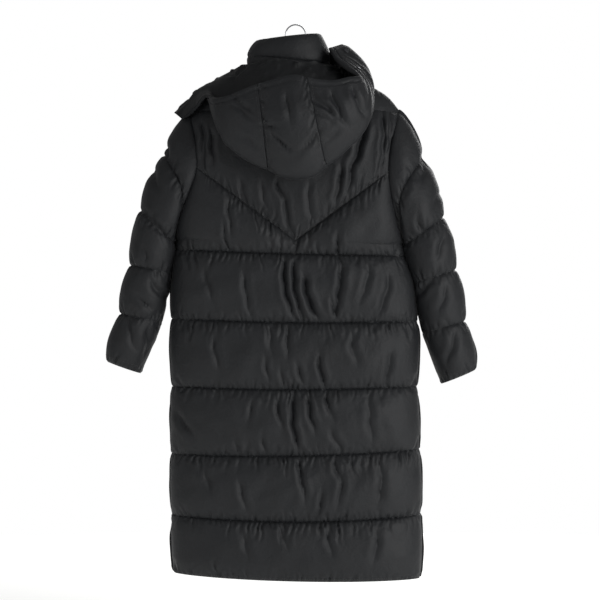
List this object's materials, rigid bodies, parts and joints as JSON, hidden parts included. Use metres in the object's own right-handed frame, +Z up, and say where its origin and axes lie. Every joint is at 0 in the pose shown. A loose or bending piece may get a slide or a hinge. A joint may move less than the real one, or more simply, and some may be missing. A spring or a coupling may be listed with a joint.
{
  "type": "long puffer coat on a hanger",
  "caption": "ankle-length quilted coat with a V back yoke, pointed-seam hood folded back, stand collar, full front zip and zipped side slits, hung on a hanger with a hook",
  "frame": {"origin": "underside of the hanger hook's top, where it rests on the rod", "axes": "+Z up, +Y out of the coat's front, -Y out of its back, +X to the wearer's right"},
  "size_m": [0.8796, 0.3033, 1.3161],
  "materials": {
    "quilted_nylon": "near-black nylon with a soft satin sheen over padding",
    "nylon_lining": "black satin lining",
    "zip_tape": "black woven tape",
    "dark_nickel": "plated zip metal",
    "bright_steel": "polished steel wire",
    "black_plastic": "moulded black plastic"
  },
  "bodies": {
    "coat": {"back_yoke": "quilted_nylon", "back_panel": "quilted_nylon", "front_left": "quilted_nylon", "front_right": "quilted_nylon", "sleeve_left": "quilted_nylon", "sleeve_right": "quilted_nylon", "collar": "quilted_nylon", "hood_left": "quilted_nylon", "hood_centre": "quilted_nylon", "hood_right": "quilted_nylon", "hood_lining": "nylon_lining", "front_tape_left": "zip_tape", "front_tape_right": "zip_tape", "front_slider": "dark_nickel", "side_left_tape_back": "zip_tape", "side_left_tape_front": "zip_tape", "side_left_slider": "dark_nickel", "side_right_tape_back": "zip_tape", "side_right_tape_front": "zip_tape", "side_right_slider": "dark_nickel", "hood_snap_upper": "dark_nickel", "hood_snap_lower": "dark_nickel", "hanger_hook": "bright_steel", "hanger_arms": "black_plastic"},
    "front_pull": {"front_pull": "dark_nickel"},
    "side_left_pull": {"side_left_pull": "dark_nickel"},
    "side_right_pull": {"side_right_pull": "dark_nickel"}
  },
  "joints": [
    {"name": "front_pull_swing", "type": "hinge", "parent": "coat", "child": "front_pull", "pos_m": [-0.01636, 0.06331, -0.05588], "axis": [1, 0, 0], "range_deg": [0, 150]},
    {"name": "side_left_pull_swing", "type": "hinge", "parent": "coat", "child": "side_left_pull", "pos_m": [-0.29038, 0, -1.204], "axis": [0, 1, 0], "range_deg": [0, 150]},
    {"name": "side_right_pull_swing", "type": "hinge", "parent": "coat", "child": "side_right_pull", "pos_m": [0.29446, 0, -1.204], "axis": [0, -1, 0], "range_deg": [0, 150]}
  ]
}
